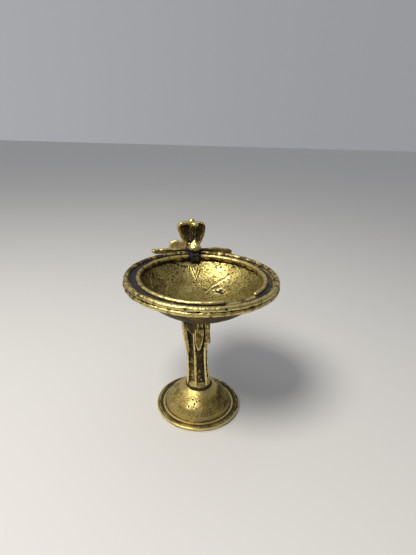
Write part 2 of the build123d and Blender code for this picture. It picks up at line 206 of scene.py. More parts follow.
def cast_skin_recipe():
    """What sand, wax and wear leave on a cast face: lumps, grain, crinkles and open pits."""
    inputs = {
        "Lumps": (LENGTH, 0.12 * MM), "Lump Size": (LENGTH, 4 * MM),
        "Grain": (LENGTH, 0.04 * MM), "Grain Size": (LENGTH, 0.8 * MM),
        "Crinkle": (LENGTH, 0.0), "Crinkle Size": (LENGTH, 2.2 * MM),
        "Pit Depth": (LENGTH, 0.15 * MM), "Pit Spacing": (LENGTH, 1.6 * MM), "Pit Share": (LENGTH, 0.15),
        "Seed": (LENGTH, 0.0),
    }
    tree, given = new_recipe("cast_skin", inputs)
    where = seeded(tree, given)
    lumps = calc(tree, "MULTIPLY", swing(tree, grain(tree, where, given["Lump Size"])), given["Lumps"])
    fine = grain(tree, where, given["Grain Size"], detail=4.0, roughness=0.6)
    fine = calc(tree, "MULTIPLY", swing(tree, fine), given["Grain"])
    # crinkles are thin folds where the noise crosses its middle, except on points marked smooth
    fold = calc(tree, "ABSOLUTE", swing(tree, grain(tree, where, given["Crinkle Size"], 3.0, 0.6)))
    fold = calc(tree, "SUBTRACT", 1.0, calc(tree, "MULTIPLY", fold, 4.0))
    fold = calc(tree, "MULTIPLY", calc(tree, "MAXIMUM", fold, 0.0), given["Crinkle"])
    smooth = put(tree, "GeometryNodeInputNamedAttribute", {"Name": "smooth"}, data_type="FLOAT")
    fold = calc(tree, "MULTIPLY", fold, calc(tree, "SUBTRACT", 1.0, smooth))
    feeds = {"Vector": scaled(tree, where, calc(tree, "DIVIDE", 1.0, given["Pit Spacing"])), "Scale": 1.0}
    reach = put(tree, "ShaderNodeTexVoronoi", feeds)
    chance = put(tree, "ShaderNodeSeparateXYZ", (reach.node.outputs["Color"],))
    chosen = calc(tree, "LESS_THAN", chance, given["Pit Share"])
    hollow = calc(tree, "MULTIPLY", calc(tree, "SUBTRACT", 1.0, fade(tree, reach, 0.12, 0.34)), chosen)
    height = calc(tree, "ADD", calc(tree, "ADD", lumps, fine), fold)
    height = calc(tree, "SUBTRACT", height, calc(tree, "MULTIPLY", hollow, given["Pit Depth"]))
    offset = scaled(tree, put(tree, "GeometryNodeInputNormal"), height)
    face = stored(tree, given["Geometry"], "pit", hollow)
    face = put(tree, "GeometryNodeSetPosition", {"Geometry": face, "Offset": offset})
    return close_recipe(tree, given, face)


def patina_recipe(rays=16):
    """Stores how deep each place lies among its neighbours ("recess"), with painted shade added on faces that
    look down, and how proud it stands ("edge").

    The rays point all round, spread by the golden angle, and a near hit weighs more than a far one.
    """
    inputs = {
        "Surroundings": ("NodeSocketObject", None), "Reach": (LENGTH, 5 * MM), "Clear": (LENGTH, 0.4 * MM),
        "Edge Height": (LENGTH, 0.08 * MM), "Edge Steps": (COUNT, 8), "Underside": (LENGTH, 0.22),
    }
    tree, given = new_recipe("patina", inputs)
    around = put(tree, "GeometryNodeObjectInfo", {"Object": given["Surroundings"]}, out="Geometry")
    place = put(tree, "GeometryNodeInputPosition")
    normal = put(tree, "GeometryNodeInputNormal")
    start = vector_calc(tree, "ADD", place, scaled(tree, normal, given["Clear"]))
    blocked, weights = 0.0, 0.0
    golden = math.pi * (3 - math.sqrt(5))
    for ray in range(rays):
        height = 1 - 2 * (ray + 0.5) / rays
        flat = math.sqrt(1 - height * height)
        direction = (flat * math.cos(golden * ray), flat * math.sin(golden * ray), height)
        facing = vector_calc(tree, "DOT_PRODUCT", normal, direction, out="Value")
        outward = scaled(tree, direction, calc(tree, "SIGN", facing))
        weight = calc(tree, "ABSOLUTE", facing)
        feeds = {"Target Geometry": around, "Source Position": start, "Ray Direction": outward,
                 "Ray Length": given["Reach"]}
        hit = put(tree, "GeometryNodeRaycast", feeds, out="Is Hit")
        share = calc(tree, "DIVIDE", hit.node.outputs["Hit Distance"], given["Reach"])
        near = calc(tree, "MULTIPLY", hit, calc(tree, "SUBTRACT", 1.0, share))
        blocked = calc(tree, "MULTIPLY_ADD", near, weight, blocked)
        weights = calc(tree, "ADD", weight, weights)
    recess = calc(tree, "DIVIDE", blocked, weights)
    # painted shade: faces that look down are counted as deeper, by the Underside share
    down = vector_calc(tree, "DOT_PRODUCT", normal, (0.0, 0.0, -1.0), out="Value")
    recess = calc(tree, "MULTIPLY_ADD", calc(tree, "MAXIMUM", down, 0.0), given["Underside"], recess)
    feeds = {"Value": place, "Iterations": given["Edge Steps"]}
    level = put(tree, "GeometryNodeBlurAttribute", feeds, data_type="FLOAT_VECTOR")
    step = vector_calc(tree, "SUBTRACT", place, level)
    proud = vector_calc(tree, "DOT_PRODUCT", step, normal, out="Value")
    edge = calc(tree, "DIVIDE", proud, given["Edge Height"])
    shape = stored(tree, given["Geometry"], "recess", recess)
    shape = stored(tree, shape, "edge", edge)
    return close_recipe(tree, given, shape)


RECIPES = {
    "cast_wire": cast_wire_recipe(),
    "turned": turned_recipe(),
    "cast_skin": cast_skin_recipe(),
    "patina": patina_recipe(),
}


def put_recipe(piece, name, values):
    """Adds a recipe to a piece, with its inputs set by their identifiers."""
    step = piece.modifiers.new(name, "NODES")
    step.node_group = RECIPES[name]
    for item in RECIPES[name].interface.items_tree:
        if item.item_type == "SOCKET" and item.in_out == "INPUT" and item.name in values:
            step[item.identifier] = values[item.name]


def evaluated_mesh(piece):
    """The plain mesh that a piece's modifiers make."""
    bpy.context.view_layer.update()
    return bpy.data.meshes.new_from_object(piece.evaluated_get(bpy.context.evaluated_depsgraph_get()))


def stand_in(data):
    """An object that only carries data through a recipe."""
    piece = bpy.data.objects.new("work", data)
    bpy.context.collection.objects.link(piece)
    return piece


def through(data, *steps):
    """The mesh that a row of (recipe, values) steps makes from a curve or a mesh."""
    piece = stand_in(data)
    for name, values in steps:
        put_recipe(piece, name, values)
    mesh = evaluated_mesh(piece)
    bpy.data.objects.remove(piece)
    return mesh


# ---------------------------------------------------------------- forms

def line_curve(points, closed=False):
    """A curve of straight runs through these points."""
    curve = bpy.data.curves.new("line", "CURVE")
    curve.dimensions = "3D"
    spline = curve.splines.new("POLY")
    spline.points.add(len(points) - 1)
    for slot, point in zip(spline.points, points):
        slot.co = (*point, 1.0)
    spline.use_cyclic_u = closed
    return curve


def ring_points(radius, height, start=0.0, sweep=360.0, steps=360):
    """Points on a ring about the lamp's axis; a full ring leaves out its last point."""
    count = steps if sweep == 360.0 else steps + 1
    angles = [math.radians(start + sweep * number / steps) for number in range(count)]
    return [(radius * math.cos(angle), radius * math.sin(angle), height) for angle in angles]


def ring_sizes(node):
    """(ring radius, height, wire radius) of a ring of wire, from its box."""
    low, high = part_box(node)
    wire = (high.z - low.z) / 2
    return high.x - wire, (high.z + low.z) / 2, wire


def joined_cad():
    """All plain solids as one mesh, for measuring how deep a place lies."""
    whole = bmesh.new()
    for node in frame["nodes"].values():
        whole.from_mesh(node.data)
    mesh = bpy.data.meshes.new("surroundings")
    whole.to_mesh(mesh)
    whole.free()
    return mesh


def middle_at(node, height):
    """The middle of a CAD node's section at this height."""
    mesh = frame["nodes"][node].data
    points = np.array([v.co for v in mesh.vertices])
    ends = np.array([e.vertices for e in mesh.edges])
    low, high = points[ends[:, 0]], points[ends[:, 1]]
    crossing = (low[:, 2] - height) * (high[:, 2] - height) < 0
    low, high = low[crossing], high[crossing]
    share = ((height - low[:, 2]) / (high[:, 2] - low[:, 2]))[:, None]
    cut = low + share * (high - low)
    return (cut.min(0) + cut.max(0)) / 2


def softened(nodes, voxel, rounds):
    """The shape of one or more CAD nodes as one skin of even small faces, with its edges rubbed round."""
    mesh = bpy.data.meshes.new("work")
    work = bmesh.new()
    for node in nodes:
        work.from_mesh(frame["nodes"][node].data)
    bmesh.ops.remove_doubles(work, verts=work.verts, dist=0.002 * MM)
    work.to_mesh(mesh)
    work.free()
    piece = stand_in(mesh)
    skin = piece.modifiers.new("skin", "REMESH")
    skin.mode = "VOXEL"
    skin.voxel_size = voxel
    rub = piece.modifiers.new("rub", "SMOOTH")
    rub.factor = 0.5
    rub.iterations = rounds
    result = evaluated_mesh(piece)
    bpy.data.objects.remove(piece)
    return result


def points_of(mesh):
    """The places of a mesh's points, as rows of an array."""
    flat = np.zeros(len(mesh.vertices) * 3)
    mesh.vertices.foreach_get("co", flat)
    return flat.reshape(-1, 3)


def normals_of(mesh):
    flat = np.zeros(len(mesh.vertices) * 3)
    mesh.vertices.foreach_get("normal", flat)
    return flat.reshape(-1, 3)


def set_points(mesh, points):
    mesh.vertices.foreach_set("co", points.ravel())
    mesh.update()


def faced_out(mesh):
    """Turns the faces round if the closed mesh is inside out."""
    work = bmesh.new()
    work.from_mesh(mesh)
    if work.calc_volume(signed=True) < 0:
        bmesh.ops.reverse_faces(work, faces=work.faces)
        work.to_mesh(mesh)
    work.free()
    return mesh


def soft_step(values, low, high):
    """0 below low, 1 above high and smooth between."""
    share = np.clip((values - low) / (high - low), 0, 1)
    return share * share * (3 - 2 * share)


def to_line(points, line):
    """Distance, seen from above, from each point to a line of (x, y) points."""
    best = np.full(len(points), 1e9)
    flat = points[:, :2]
    for a, b in zip(line, line[1:]):
        a, b = np.array(a), np.array(b)
        run = b - a
        share = np.clip(((flat - a) @ run) / (run @ run), 0, 1)
        gap = np.linalg.norm(flat - (a + share[:, None] * run), axis=1)
        best = np.minimum(best, gap)
    return best


def mark(mesh, name, values):
    """Stores a value for each point of a mesh."""
    layer = mesh.attributes.new(name, "FLOAT", "POINT")
    layer.data.foreach_set("value", values.astype(np.float32))


def off_axis(points):
    """How far each point is from the lamp's axis."""
    return np.hypot(points[:, 0], points[:, 1])


def bearing_of(points):
    """The angle of each point about the lamp's axis, from +X, in radians."""
    return np.arctan2(points[:, 1], points[:, 0])


def towards(mesh, degrees, sharpness):
    """1 where a mesh faces this bearing from the lamp's axis and 0 opposite; sharpness is an even power."""
    return np.cos((bearing_of(points_of(mesh)) - math.radians(degrees)) / 2) ** sharpness


def in_oval(points, centre, half_sizes, turn):
    """0 at an oval's middle and 1 on its edge, seen from above."""
    flat = points[:, :2] - np.array(centre)
    cosine, sine = math.cos(turn), math.sin(turn)
    along = flat @ np.array([cosine, sine]) / half_sizes[0]
    across = flat @ np.array([-sine, cosine]) / half_sizes[1]
    return np.hypot(along, across)


# ---------------------------------------------------------------- materials

def mixed(tree, factor, first, second):
    """Mixes two colours, sockets or plain, by a factor."""
    feeds = {0: factor, 6: first, 7: second}
    return put(tree, "ShaderNodeMix", feeds, out=2, data_type="RGBA", clamp_factor=True)


def blended(tree, factor, first, second):
    """Mixes two values by a factor."""
    feeds = {0: factor, 2: first, 3: second}
    return put(tree, "ShaderNodeMix", feeds, out=0, data_type="FLOAT", clamp_factor=True)


# Brass from rubbed bright to black
RUBBED = (0.93, 0.77, 0.33, 1)
FACE = (0.60, 0.45, 0.15, 1)
OLIVE = (0.33, 0.25, 0.075, 1)
BROWN = (0.125, 0.078, 0.022, 1)
BLACK = (0.020, 0.020, 0.021, 1)


def measure(tree, name):
    """A value that was stored for each point."""
    return put(tree, "ShaderNodeAttribute", out="Fac", attribute_name=name)


def black_dots(tree, where, share):
    """Small round spots, in this share of cells about 0.9 mm wide."""
    dots = put(tree, "ShaderNodeTexVoronoi", {"Vector": where, "Scale": 1 / (0.9 * MM)})
    chance = put(tree, "ShaderNodeSeparateXYZ", (dots.node.outputs["Color"],))
    spot = calc(tree, "SUBTRACT", 1.0, fade(tree, dots, 0.12, 0.30))
    return calc(tree, "MULTIPLY", spot, calc(tree, "LESS_THAN", chance, share))


def age_and_painted_light_of(tree, clouds, specks, rub, tarnish, mottle, depth):
    """How aged each place is, with the painted shade and painted highlights that its marks carry: about 0 is
    clean metal and 1 is black.
    """
    edge = measure(tree, "edge")
    patina_and_underside_shade = fade(tree, measure(tree, "recess"), 0.04, 0.50)
    age_and_painted_light = calc(tree, "MULTIPLY_ADD", patina_and_underside_shade, 1.15 * depth, tarnish - 0.5 * mottle)
    age_and_painted_light = calc(tree, "MULTIPLY_ADD", fade(tree, clouds, 0.34, 0.66), mottle, age_and_painted_light)
    age_and_painted_light = calc(tree, "MULTIPLY_ADD", swing(tree, specks), 0.40, age_and_painted_light)
    # the stored stain marks hold real stains and, on some pieces, painted shade and painted highlights
    age_and_painted_light = calc(tree, "ADD", age_and_painted_light, measure(tree, "stain_and_painted_light"))
    sunk = fade(tree, calc(tree, "MULTIPLY", edge, -1.0), 0.1, 1.2)
    age_and_painted_light = calc(tree, "MULTIPLY_ADD", sunk, 0.5, age_and_painted_light)
    return calc(tree, "SUBTRACT", age_and_painted_light, calc(tree, "MULTIPLY", rub, 0.55))


def aged_brass(name, face=FACE, dull=OLIVE, deep=BROWN, worn=0.5, tarnish=0.35, mottle=0.35, gloss=0.34,
               depth=1.0, blotch=5.0 * MM, speckle=0.4):
    """Cast brass: rubbed bright where it stands proud, olive on its faces and dark in its recesses, with
    painted shade on faces that look down and the painted shade and highlights of its stored marks.

    tarnish is how aged it is all over and mottle how patchily, in clouds of about the size of blotch.
    worn is how bright its edges are, depth how much its recesses and the painted shade on faces that
    look down darken, gloss the roughness of clean metal and speckle the share of small cells with a
    black dot in them.
    """
    material = bpy.data.materials.new(name)
    material.use_nodes = True
    tree = material.node_tree
    shader = tree.nodes["Principled BSDF"]
    where = put(tree, "ShaderNodeTexCoord", out="Object")
    clouds = grain(tree, where, blotch, detail=5.0, roughness=0.62)
    specks = grain(tree, where, 0.8 * MM, detail=4.0, roughness=0.65)
    fine = grain(tree, where, 0.25 * MM, detail=3.0, roughness=0.6)
    dots = black_dots(tree, where, speckle)
    rub = calc(tree, "MULTIPLY", fade(tree, measure(tree, "edge"), 0.08, 0.9), worn)
    age_and_painted_light = age_and_painted_light_of(tree, clouds, specks, rub, tarnish, mottle, depth)
    # rubbed metal shines only where it is clean and free of specks
    shine = calc(tree, "SUBTRACT", rub, calc(tree, "MULTIPLY", fade(tree, specks, 0.50, 0.70), 0.5))
    shine = calc(tree, "SUBTRACT", shine, calc(tree, "MULTIPLY", fade(tree, age_and_painted_light, 0.3, 0.9), 0.8))
    dark = fade(tree, age_and_painted_light, 0.72, 1.05)
    dark = calc(tree, "MAXIMUM", dark, calc(tree, "MULTIPLY", measure(tree, "pit"), 0.9))
    dark = calc(tree, "MAXIMUM", dark, calc(tree, "MULTIPLY", dots, 0.75))
    colour = mixed(tree, fade(tree, age_and_painted_light, 0.05, 0.45), face, dull)
    colour = mixed(tree, shine, colour, RUBBED)
    colour = mixed(tree, fade(tree, age_and_painted_light, 0.42, 0.72), colour, deep)
    colour = mixed(tree, dark, colour, BLACK)
    tree.links.new(colour, shader.inputs["Base Color"])
    rough = blended(tree, fade(tree, age_and_painted_light, 0.2, 0.9), gloss, 0.6)
    rough = calc(tree, "MULTIPLY_ADD", swing(tree, fine), 0.10, rough)
    rough = calc(tree, "SUBTRACT", rough, calc(tree, "MULTIPLY", shine, 0.08))
    tree.links.new(rough, shader.inputs["Roughness"])
    metal = blended(tree, dark, blended(tree, fade(tree, age_and_painted_light, 0.4, 0.8), 1.0, 0.88), 0.3)
    tree.links.new(metal, shader.inputs["Metallic"])
    relief = calc(tree, "MULTIPLY_ADD", fine, 0.35, calc(tree, "MULTIPLY", specks, 0.9))
    relief = calc(tree, "SUBTRACT", relief, calc(tree, "MULTIPLY", dots, 0.8))
    feeds = {"Strength": 0.7, "Distance": 0.14 * MM, "Height": relief}
    bump = put(tree, "ShaderNodeBump", feeds, out="Normal")
    tree.links.new(bump, shader.inputs["Normal"])
    return material


BRASSES = {
    "foot_brass": dict(face=(0.62, 0.48, 0.17, 1), tarnish=0.36, mottle=0.38, worn=0.6, gloss=0.45,
                       blotch=6 * MM, speckle=0.4),
    "stem_brass": dict(tarnish=0.44, mottle=0.42, worn=1.0, depth=0.8, blotch=3 * MM),
    "leaf_brass": dict(tarnish=0.42, mottle=0.35, worn=0.6, gloss=0.40, depth=0.7),
    "bowl_brass": dict(face=(0.50, 0.41, 0.145, 1), dull=(0.31, 0.25, 0.08, 1), tarnish=0.34, mottle=0.42,
                       worn=0.65, gloss=0.40, depth=0.9, blotch=7 * MM, speckle=0.15),
    "rim_brass": dict(face=(0.52, 0.41, 0.14, 1), tarnish=0.42, mottle=0.75, worn=0.5, gloss=0.42,
                      blotch=3.5 * MM, speckle=0.45),
    "hood_brass": dict(face=(0.70, 0.57, 0.24, 1), deep=(0.13, 0.10, 0.055, 1), tarnish=0.34, mottle=0.4,
                       worn=1.1, gloss=0.34, blotch=3 * MM),
    "bud_brass": dict(face=(0.70, 0.58, 0.24, 1), tarnish=0.12, mottle=0.25, worn=0.9, gloss=0.32,
                      depth=1.2, speckle=0.15),
    "arm_brass": dict(face=(0.52, 0.42, 0.18, 1), tarnish=0.66, mottle=0.45, worn=0.4, gloss=0.46, depth=1.3),
    "tail_brass": dict(face=(0.68, 0.55, 0.27, 1), tarnish=0.20, mottle=0.3, worn=0.3, gloss=0.5),
}
FINISH = {slot: aged_brass(slot, **look) for slot, look in BRASSES.items()}


# ---------------------------------------------------------------- finishing a piece

surroundings = bpy.data.objects.new("surroundings", joined_cad())
bpy.context.collection.objects.link(surroundings)


def input_names(sizes):
    """Sizes given in code, such as lump_size, under the names of a recipe's inputs, such as Lump Size."""
    return {key.replace("_", " ").title(): value for key, value in sizes.items()}


def finish_piece(node, form, stain_and_painted_light=0.0, **skin):
    """Lays the casting skin on a form, measures its patina and its painted underside shade and puts it in its
    CAD node's place.
    """
    finish = FINISH[slot_of[node]]
    # the stain mark holds real stains and, on some pieces, painted shade and painted highlights
    if "stain_and_painted_light" not in form.attributes:
        mark(form, "stain_and_painted_light", np.full(len(form.vertices), stain_and_painted_light))
    # its name gives each piece a patch of the noise of its own
    seed = sum(map(ord, node)) * 0.13 * MM
    skin_values = {**input_names(skin), "Seed": seed, "Finish": finish}
    patina_values = {"Surroundings": surroundings, "Finish": finish}
    mesh = through(faced_out(form), ("cast_skin", skin_values), ("patina", patina_values))
    mesh.materials.clear()
    mesh.materials.append(finish)
    piece = bpy.data.objects.new("cast_" + node, mesh)
    bpy.context.collection.objects.link(piece)
    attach(piece, "root")
    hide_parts(node)
    return piece


def wire_form(points, closed=False, **values):
    """A cast wire along these points; its sizes are the cast_wire recipe's inputs."""
    return through(line_curve(points, closed), ("cast_wire", input_names(values)))


def turned_form(profile, step, steps_around):
    """A turned wall from (radius, height) points in metres."""
    points = [(radius, 0.0, height) for radius, height in profile]
    return through(line_curve(points), ("turned", {"Step": step, "Steps Around": steps_around}))


def arc_points(centre, half_sizes, start, end, steps):
    """Points on an ellipse in the profile plane, from start to end degrees."""
    angles = np.radians(np.linspace(start, end, steps + 1))
    across = centre[0] + half_sizes[0] * np.cos(angles)
    upward = centre[1] + half_sizes[1] * np.sin(angles)
    return list(zip(across.tolist(), upward.tolist()))


# ---------------------------------------------------------------- foot

WALL = 2 * MM
ROUNDING = 0.3 * MM


def make_foot_wires():
    """The thread round the flange's edge, with a painted highlight at the front left, and the one round the
    dome.
    """
    radius, height, wire = ring_sizes("foot_edge_wire")
    line = ring_points(radius + 0.2 * MM, height - 0.05 * MM)
    form = wire_form(line, closed=True, radius=0.68 * wire, waver=0.3 * MM, waver_size=14 * MM,
                     swell=0.24, swell_size=5 * MM, steps_around=20)
    # the front left is made brighter: a painted highlight where the key light shines on the wire
    mark(form, "stain_and_painted_light", 0.24 - 0.52 * towards(form, -122, 10))
    finish_piece("foot_edge_wire", form, lumps=0.14 * MM, lump_size=3 * MM, pit_share=0.1)

    radius, height, wire = ring_sizes("foot_step_ring")
    line = ring_points(radius - 0.3 * MM, height - 0.15 * MM)
    form = wire_form(line, closed=True, radius=0.72 * wire, waver=0.15 * MM, swell=0.14, steps_around=20)
    finish_piece("foot_step_ring", form, stain_and_painted_light=-0.3, lumps=0.10 * MM, lump_size=3 * MM, pit_share=0.08)


def make_foot_plate():
    """The flange: a little dished, with painted shade at the back and the right, and clean under the dome's
    ring.
    """
    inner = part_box("foot_dome")[1].x - WALL
    outer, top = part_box("foot_plate")[1].x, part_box("foot_plate")[1].z
    profile = [(inner, ROUNDING), (inner + ROUNDING, 0), (outer - ROUNDING, 0), (outer, ROUNDING),
               (outer, top), (outer - 0.9 * MM, top + 0.45 * MM), (outer - 1.7 * MM, top + 0.40 * MM),
               (outer - 3.0 * MM, top + 0.36 * MM), (outer - 4.0 * MM, top + 0.66 * MM),
               (inner + ROUNDING, top), (inner, top - ROUNDING), (inner, ROUNDING)]
    form = turned_form(profile, 0.35 * MM, 420)
    around = bearing_of(points_of(form))
    # painted shade: darker at the back and the right, where the dome shades the flange
    sides = 0.06 * np.cos(around) + 0.16 * np.sin(around)
    under_ring = 1 - soft_step(off_axis(points_of(form)), 20.5 * MM, 21.4 * MM)
    mark(form, "stain_and_painted_light", 0.42 + sides - 1.5 * under_ring)
    finish_piece("foot_plate", form, lumps=0.16 * MM, lump_size=6 * MM, grain=0.06 * MM, pit_share=0.12)


def dome_sizes():
    """(radius, base height, rise, hole radius) of the dome, whose section is part of an ellipse."""
    low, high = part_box("foot_dome")
    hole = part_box("foot_collar")[1].x / 2
    return high.x, low.z, (high.z - low.z) / math.sqrt(1 - (hole / high.x) ** 2), hole


def make_foot_dome():
    """The hollow dome, with a small foot of its own and open pits on its front."""
    width, base, rise, hole = dome_sizes()
    outer_end = math.degrees(math.acos(hole / width))
    inner_start = math.degrees(math.acos(hole / (width - WALL)))
    profile = [(width + 0.7 * MM, base), (width + 0.75 * MM, base + 0.55 * MM),
               (width + 0.35 * MM, base + 1.1 * MM)]
    profile += arc_points((0, base), (width, rise), 12, outer_end, 60)
    profile += arc_points((0, base), (width - WALL, rise - WALL), inner_start, 0, 50)
    profile += [profile[0]]
    form = turned_form(profile, 0.33 * MM, 360)
    dome_pits(form)
    finish_piece("foot_dome", form, lumps=0.12 * MM, lump_size=6 * MM, grain=0.045 * MM, grain_size=1.1 * MM,
                 pit_depth=0.10 * MM, pit_spacing=1.2 * MM, pit_share=0.12)


# Across, along and radius of each open pit, in millimetres
DOME_PITS = ((-4.84, -11.18, 0.40), (-2.66, -12.72, 0.26), (-4.08, -13.54, 0.46), (-7.56, -13.67, 0.42),
             (-4.6, -14.7, 0.30), (-1.0, -15.6, 0.22), (-8.6, -9.4, 0.2))


def dome_pits(mesh):
    """Sinks the open pits and stains the dome: dark in them, with painted shade to the right, and clean where
    it is covered.
    """
    points, normals = points_of(mesh), normals_of(mesh)
    above_foot = points[:, 2] > 4 * MM
    sink = np.zeros(len(points))
    for x, y, size in DOME_PITS:
        gap = np.hypot(points[:, 0] - x * MM, points[:, 1] - y * MM) / MM
        sink = np.maximum(sink, (1 - soft_step(gap, size * 0.5, size * 1.25)) * above_foot)
    upward = np.sign(normals[:, 2:3])
    set_points(mesh, points - normals * upward * (sink * 0.35 * MM)[:, None])
    base = soft_step(off_axis(points), 17.9 * MM, 19.2 * MM) * (points[:, 2] < 4.5 * MM)
    crown = 1 - soft_step(off_axis(points), 10.5 * MM, 12.5 * MM)
    # painted shade: darker to the right, away from the key light
    right = soft_step(points[:, 0], 2 * MM, 15 * MM)
    mark(mesh, "stain_and_painted_light", sink * 1.2 + 0.26 * right - 0.9 * base - 0.35 * crown)


# Radius and height over the dome, in millimetres, from the collar's outer edge inwards
COLLAR_FLARE = ((11.6, -0.35), (10.7, 0.0), (9.6, 0.3), (8.4, 0.75), (7.4, 1.25))


def make_foot_collar():
    """The collar, flared out onto the dome below and drawn up round the stem above."""
    width, base, rise, hole = dome_sizes()
    low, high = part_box("foot_collar")
    flare = [(radius * MM, base + rise * math.sqrt(1 - (radius * MM / width) ** 2) + over * MM)
             for radius, over in COLLAR_FLARE]
    top = high.z + 2.2 * MM
    profile = [(hole, low.z), *flare, (6.5 * MM, high.z + 0.1 * MM), (5.8 * MM, high.z + 1.1 * MM),
               (5.2 * MM, top), (hole, top), (hole, low.z)]
    form = turned_form(profile, 0.25 * MM, 220)
    height = points_of(form)[:, 2]
    mark(form, "stain_and_painted_light", -0.62 - 0.2 * soft_step(height, high.z - 1.0 * MM, high.z + 0.5 * MM))
    finish_piece("foot_collar", form, lumps=0.3 * MM, lump_size=3.5 * MM, pit_share=0.1)


# ---------------------------------------------------------------- stem

# Heights at which the ridges' lines are read off their solids, in millimetres
STEM_LEVELS = (16.2, 24, 32, 40, 48, 56, 60.5)
STEM_FOOT = np.array((-1.4 * MM, 0.2 * MM, 0))
RIDGES = tuple(f"stem_ridge_{number}" for number in range(1, 7))
FRONT_RIDGE, FRONT_LEFT_RIDGE = RIDGES[0], RIDGES[5]


def make_stem_core():
    """The pitted column, filled out under its ridges, with painted shade to the right and painted shadow of
    the bowl upwards.
    """
    core = softened(("stem_core", *RIDGES), 0.28 * MM, 10)
    points = points_of(core)
    # painted shade: darker to the right, away from the key light, and upwards, in the bowl's shadow
    right = soft_step(points[:, 0], -2.0 * MM, 1.5 * MM)
    high = soft_step(points[:, 2], 22 * MM, 42 * MM)
    mark(core, "stain_and_painted_light", 0.12 + 0.22 * right + 0.30 * high)
    finish_piece("stem_core", core, lumps=0.28 * MM, lump_size=2.2 * MM, grain=0.14 * MM,
                 grain_size=1.0 * MM, pit_depth=0.5 * MM, pit_spacing=1.8 * MM, pit_share=0.3)


def make_stem_ridge(node, seed):
    """A thread along one corner of the stem, run down into the collar; the front one is beaded."""
    low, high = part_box(node)
    line = [middle_at(node, level * MM) for level in STEM_LEVELS if low.z < level * MM < high.z]
    line = [point + (point - STEM_FOOT) * 0.02 for point in line]
    line[0] = line[0] - np.array((0, 0, 1.3 * MM))
    form = wire_form(line, radius=0.62 * MM, waver=0.22 * MM, waver_size=5 * MM, swell=0.2,
                     swell_size=2.5 * MM, bead_height=0.22 if node == FRONT_RIDGE else 0.05,
                     bead_spacing=1.5 * MM, steps_around=16, step=0.25 * MM, seed=seed)
    # the front left ridge is made brighter: painted light on the ridge that faces the key light
    stain_and_painted_light = -0.3 if node == FRONT_LEFT_RIDGE else 0.05
    finish_piece(node, form, stain_and_painted_light=stain_and_painted_light, lumps=0.10 * MM, lump_size=1.6 * MM, grain=0.07 * MM,
                 pit_share=0.15)


def make_stem():
    make_stem_core()
    for number, node in enumerate(RIDGES, start=1):
        make_stem_ridge(node, seed=number * 7 * MM)


LEAF_TOP = 60.4 * MM
LEAF_LEAN = np.array((-2.1 * MM, 0.3 * MM))


def make_leaf(node):
    """One drooping leaf: it runs out into the stem below, and some sink into it above as well."""
    form = softened((node,), 0.22 * MM, 24 if node == "calyx_rod" else 10)
    points = points_of(form)
    low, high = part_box(node)
    share = (points[:, 2] - low.z) / (high.z - low.z)
    outward = points[:, :2] - LEAF_LEAN
    outward /= np.linalg.norm(outward, axis=1)[:, None]
    tuck = np.zeros(len(points))
    # painted shade: each leaf is darker towards its top, under the bowl
    stain_and_painted_light = 0.1 + 0.25 * soft_step(share, 0.5, 1.0)
    if node == "calyx_leaf_left":
        tuck = 1.5 * MM * (1 - soft_step(share, 0.0, 0.7))
        # Where the leaf is tucked in, its own solid would count as a recess
        stain_and_painted_light = stain_and_painted_light - 0.3 - 0.75 * soft_step(tuck, 0.28 * MM, 0.46 * MM)
    elif node == "calyx_leaf_front":
        points[:, 2] = low.z + share * (LEAF_TOP - low.z)
        tuck = 0.8 * MM * soft_step(share, 0.6, 1.0) + 0.5 * MM * (1 - soft_step(share, 0.0, 0.25))
        stain_and_painted_light = stain_and_painted_light - 0.03
    elif node == "calyx_leaf_front_left":
        stain_and_painted_light = stain_and_painted_light + 0.25
    elif node == "calyx_rod":
        # painted shade: the rod is darker towards its top, under the bowl
        stain_and_painted_light = 0.30 * soft_step(share, 0.15, 0.6) - 0.05
    points[:, :2] -= outward * tuck[:, None]
    set_points(form, points)
    mark(form, "stain_and_painted_light", stain_and_painted_light)
    finish_piece(node, form, lumps=0.2 * MM, lump_size=3 * MM, grain=0.06 * MM, pit_share=0.12)


def make_leaves():
    for node in slot_of:
        if node.startswith("calyx"):
            make_leaf(node)


# ---------------------------------------------------------------- bowl

# The bowl is part of a ball: its outer radius, and how high its middle is over the floor
BOWL_RADIUS = 43.4 * MM
BOWL_MIDDLE = 103.7 * MM


def make_bowl():
    """The dished shell, crinkled inside and smooth outside."""
    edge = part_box("bowl_shell")[1].z
    inner_radius = BOWL_RADIUS - WALL
    outer_end = math.degrees(math.asin((edge - BOWL_MIDDLE) / BOWL_RADIUS))
    inner_end = math.degrees(math.asin((edge - BOWL_MIDDLE) / inner_radius))
    profile = arc_points((0, BOWL_MIDDLE), (BOWL_RADIUS, BOWL_RADIUS), -90, outer_end, 80)
    profile += arc_points((0, BOWL_MIDDLE), (inner_radius, inner_radius), inner_end, -90, 80)
    form = turned_form(profile, 0.5 * MM, 540)
    bowl_marks(form)
    finish_piece("bowl_shell", form, lumps=0.16 * MM, lump_size=5 * MM, grain=0.06 * MM, grain_size=1.3 * MM,
                 crinkle=0.15 * MM, crinkle_size=1.9 * MM, pit_depth=0.10 * MM, pit_share=0.04)


def make_chevrons():
    """The V-shaped threads on the inner back wall, which sink away towards their upper ends."""
    for node in ("chevron_outer", "chevron_inner"):
        form = softened((node,), 0.16 * MM, 3)
        points = points_of(form)
        low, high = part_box(node)
        share = (points[:, 2] - low.z) / (high.z - low.z)
        points[:, 1] += 0.45 * MM * soft_step(share, 0.3, 1.0)
        set_points(form, points)
        mark(form, "stain_and_painted_light", 0.55 * soft_step(share, 0.3, 0.9) - 0.50)
        finish_piece(node, form, lumps=0.22 * MM, lump_size=1.2 * MM, pit_share=0.0)


# Marks inside the bowl, seen from above and in millimetres. Ovals: middle, half sizes, turn in radians
SINK = ((13.2, 14.3), (3.4, 1.5), math.radians(-38))
